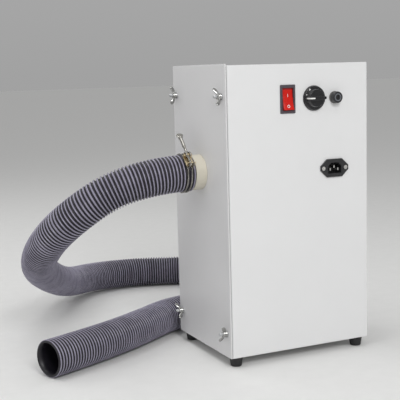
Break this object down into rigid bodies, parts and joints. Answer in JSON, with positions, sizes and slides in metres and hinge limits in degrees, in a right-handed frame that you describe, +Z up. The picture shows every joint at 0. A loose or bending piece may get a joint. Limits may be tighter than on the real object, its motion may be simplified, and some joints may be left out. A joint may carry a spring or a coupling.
{
  "type": "bench dust extractor",
  "caption": "Portable dust extractor: white sheet steel box with a bolted side cover, a clamped corrugated suction hose, a rocker switch, a speed knob, a fuse and a mains inlet.",
  "frame": {"origin": "on the surface the feet stand on, under the middle of the cabinet", "axes": "+Z up, -Y is the control panel side, -X is the side cover with the hose"},
  "size_m": [0.5568, 0.649, 0.457],
  "materials": {
    "white_panel": "powder coat, fine orange peel",
    "cover_panel": "powder coat, satin",
    "zinc_steel": "zinc plated",
    "bright_steel": "bright plated",
    "steel_core": "laminated steel and varnished copper",
    "black_rubber": "matt",
    "foam_dark": "open cell foam",
    "foam_seal": "closed cell foam",
    "cream_plastic": "moulded, satin",
    "hose_plastic": "soft corrugated plastic",
    "black_plastic": "fine texture",
    "grey_plastic": "fine texture",
    "red_plastic": "translucent",
    "bag_fleece": "thick needled fleece",
    "collar_card": "pressed card",
    "alu": "turned",
    "board_green": "solder mask",
    "glass": "clear",
    "brass": "plain",
    "wire_skin": "insulation"
  },
  "bodies": {
    "cabinet": {"cabinet_wrap": "white_panel", "top_panel": "white_panel", "base_pan": "white_panel", "chamber_divider": "zinc_steel", "cabinet_fixings": "bright_steel", "earth_stud": "brass", "foot_screws": "zinc_steel", "cover_studs": "zinc_steel", "bag_collar": "collar_card", "bag_bracket": "zinc_steel", "filter_bag": "bag_fleece", "motor_filter": "foam_dark", "filter_frame": "black_plastic", "exhaust_grille": "black_plastic", "exhaust_foam": "foam_dark", "motor_gasket": "black_rubber", "fan_housing": "zinc_steel", "motor_frame": "alu", "motor_bearings": "bright_steel", "motor_stator": "steel_core", "motor_brushes": "brass", "motor_clamps": "zinc_steel", "switch_body": "grey_plastic", "switch_terminals": "brass", "pot_body": "zinc_steel", "panel_nuts": "zinc_steel", "control_board": "board_green", "fuse_body": "black_plastic", "inlet_socket": "black_plastic", "inlet_pins": "bright_steel", "inlet_screws": "bright_steel", "wiring": "wire_skin", "foot_front_left": "black_rubber", "foot_front_right": "black_rubber", "foot_back_left": "black_rubber", "foot_back_right": "black_rubber"},
    "cover": {"side_cover": "cover_panel", "cover_gasket": "foam_seal", "cover_washers": "zinc_steel", "inlet_spigot": "cream_plastic", "spigot_ring": "cream_plastic", "spigot_gasket": "black_rubber", "hose": "hose_plastic", "clamp_wires": "bright_steel", "clamp_saddle": "bright_steel", "clamp_nut": "bright_steel"},
    "clamp_screw": {"clamp_screw": "bright_steel"},
    "rocker": {"switch_rocker": "red_plastic"},
    "knob": {"speed_knob": "black_plastic", "pot_shaft": "alu"},
    "fuse_carrier": {"fuse_carrier": "brass", "glass_fuse": "glass"},
    "fuse_cap": {"fuse_cap": "black_plastic"},
    "rotor": {"motor_shaft": "zinc_steel", "fan_impeller": "alu", "motor_armature": "steel_core"},
    "wing_nut_1": {"wing_nut_1": "bright_steel"},
    "wing_nut_2": {"wing_nut_2": "bright_steel"},
    "wing_nut_3": {"wing_nut_3": "bright_steel"},
    "wing_nut_4": {"wing_nut_4": "bright_steel"}
  },
  "joints": [
    {"name": "cover_pull", "type": "slide", "parent": "cabinet", "child": "cover", "axis": [-1, 0, 0], "range_m": [0, 0.06]},
    {"name": "wing_nut_1_turn", "type": "hinge", "parent": "cover", "child": "wing_nut_1", "pos_m": [-0.125, -0.082, 0.41], "axis": [-1, 0, 0], "continuous": true},
    {"name": "wing_nut_2_turn", "type": "hinge", "parent": "cover", "child": "wing_nut_2", "pos_m": [-0.125, 0.082, 0.41], "axis": [-1, 0, 0], "continuous": true},
    {"name": "wing_nut_3_turn", "type": "hinge", "parent": "cover", "child": "wing_nut_3", "pos_m": [-0.125, -0.082, 0.052], "axis": [-1, 0, 0], "continuous": true},
    {"name": "wing_nut_4_turn", "type": "hinge", "parent": "cover", "child": "wing_nut_4", "pos_m": [-0.125, 0.082, 0.052], "axis": [-1, 0, 0], "continuous": true},
    {"name": "clamp_screw_turn", "type": "hinge", "parent": "cover", "child": "clamp_screw", "pos_m": [-0.15375, -0.02546, 0.31746], "axis": [0, 0.7071, 0.7071], "continuous": true},
    {"name": "switch_rock", "type": "hinge", "parent": "cabinet", "child": "rocker", "pos_m": [-0.02, -0.0945, 0.4025], "axis": [1, 0, 0], "range_deg": [0, 18]},
    {"name": "knob_turn", "type": "hinge", "parent": "cabinet", "child": "knob", "pos_m": [0.026, -0.0955, 0.4025], "axis": [0, -1, 0], "range_deg": [-60, 240]},
    {"name": "fuse_pull", "type": "slide", "parent": "cabinet", "child": "fuse_carrier", "axis": [0, -1, 0], "range_m": [0, 0.035]},
    {"name": "fuse_cap_turn", "type": "hinge", "parent": "fuse_carrier", "child": "fuse_cap", "pos_m": [0.063, -0.0955, 0.4025], "axis": [0, -1, 0], "range_deg": [0, 60]},
    {"name": "rotor_spin", "type": "hinge", "parent": "cabinet", "child": "rotor", "pos_m": [0, 0, 0.15], "axis": [1, 0, 0], "continuous": true}
  ]
}
